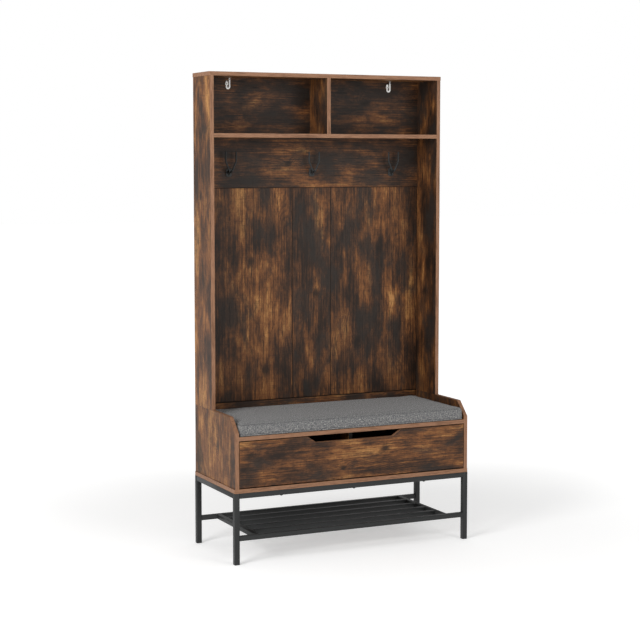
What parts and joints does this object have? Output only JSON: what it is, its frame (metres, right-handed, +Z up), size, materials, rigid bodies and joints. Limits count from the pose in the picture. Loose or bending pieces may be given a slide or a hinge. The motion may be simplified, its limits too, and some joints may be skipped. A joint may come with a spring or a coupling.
{
  "type": "hall tree with hooks",
  "caption": "Hall tree: a hutch with two cubbies and coat hooks over a cushioned bench with a drop-front flap, on a steel frame with a slatted shoe shelf.",
  "frame": {"origin": "middle of the footprint on the floor", "axes": "+X to the right-hand side, -Y the front, +Z up"},
  "size_m": [0.98, 0.4, 1.8],
  "materials": {
    "rustic_board": "satin rustic brown printed board with light brown edge banding",
    "black_steel": "matt black powder coat",
    "linen": "grey melange linen weave",
    "white_nylon": "moulded nylon",
    "black_plastic": "moulded plastic",
    "zinc_steel": "zinc plated",
    "beech": "fluted dowel"
  },
  "bodies": {
    "carcass": {"top_panel": "rustic_board", "upper_side_left": "rustic_board", "upper_side_right": "rustic_board", "cubby_divider": "rustic_board", "upper_shelf": "rustic_board", "upper_back_board": "rustic_board", "back_board_left": "rustic_board", "back_board_middle": "rustic_board", "back_board_right": "rustic_board", "bench_side_left": "rustic_board", "bench_side_right": "rustic_board", "bench_back_board": "rustic_board", "seat_board": "rustic_board", "base_panel": "rustic_board", "middle_support": "rustic_board", "seat_cushion": "linen", "pivot_bushes": "black_plastic", "magnet_catches": "black_plastic", "stay_base_left": "zinc_steel", "stay_base_right": "zinc_steel", "leg_front_left": "black_steel", "leg_front_right": "black_steel", "leg_back_left": "black_steel", "leg_back_right": "black_steel", "top_rail_front": "black_steel", "top_rail_back": "black_steel", "top_rail_left": "black_steel", "top_rail_right": "black_steel", "shelf_rail_front": "black_steel", "shelf_rail_back": "black_steel", "shelf_crossbar_left": "black_steel", "shelf_crossbar_right": "black_steel", "shelf_slat_1": "black_steel", "shelf_slat_2": "black_steel", "shelf_slat_3": "black_steel", "shelf_slat_4": "black_steel", "foot_caps": "black_plastic", "coat_hook_left": "black_steel", "coat_hook_middle": "black_steel", "coat_hook_right": "black_steel", "hook_screws": "black_steel", "tip_strap_left": "white_nylon", "tip_strap_right": "white_nylon", "tip_bracket_left": "white_nylon", "tip_bracket_right": "white_nylon", "cam_locks": "zinc_steel", "cam_bolts": "zinc_steel", "dowels": "beech", "panel_screws": "zinc_steel", "frame_bolts": "black_steel"},
    "flap": {"flap_door": "rustic_board", "pivot_pins": "zinc_steel", "strike_plates": "zinc_steel", "stay_bracket_left": "zinc_steel", "stay_bracket_right": "zinc_steel"},
    "stay_rod_left": {"stay_rod_left": "zinc_steel"},
    "stay_rod_right": {"stay_rod_right": "zinc_steel"},
    "stay_swivel_left": {"stay_swivel_left": "black_plastic"},
    "stay_swivel_right": {"stay_swivel_right": "black_plastic"}
  },
  "joints": [
    {"name": "flap_hinge", "type": "hinge", "parent": "carcass", "child": "flap", "pos_m": [0, -0.1925, 0.292], "axis": [1, 0, 0], "range_deg": [0, 90]},
    {"name": "stay_swivel_turn_left", "type": "hinge", "parent": "carcass", "child": "stay_swivel_left", "pos_m": [-0.458, -0.10975, 0.37612], "axis": [1, 0, 0], "range_deg": [0, 45]},
    {"name": "stay_rod_turn_left", "type": "hinge", "parent": "flap", "child": "stay_rod_left", "pos_m": [-0.458, -0.175, 0.40869], "axis": [1, 0, 0], "range_deg": [-45, 0]},
    {"name": "stay_swivel_turn_right", "type": "hinge", "parent": "carcass", "child": "stay_swivel_right", "pos_m": [0.458, -0.10975, 0.37612], "axis": [1, 0, 0], "range_deg": [0, 45]},
    {"name": "stay_rod_turn_right", "type": "hinge", "parent": "flap", "child": "stay_rod_right", "pos_m": [0.458, -0.175, 0.40869], "axis": [1, 0, 0], "range_deg": [-45, 0]}
  ],
  "couplings": [
    {"joint": "stay_swivel_turn_left", "follows": "flap_hinge", "ratio": 0.5},
    {"joint": "stay_rod_turn_left", "follows": "flap_hinge", "ratio": -0.5},
    {"joint": "stay_swivel_turn_right", "follows": "flap_hinge", "ratio": 0.5},
    {"joint": "stay_rod_turn_right", "follows": "flap_hinge", "ratio": -0.5}
  ]
}
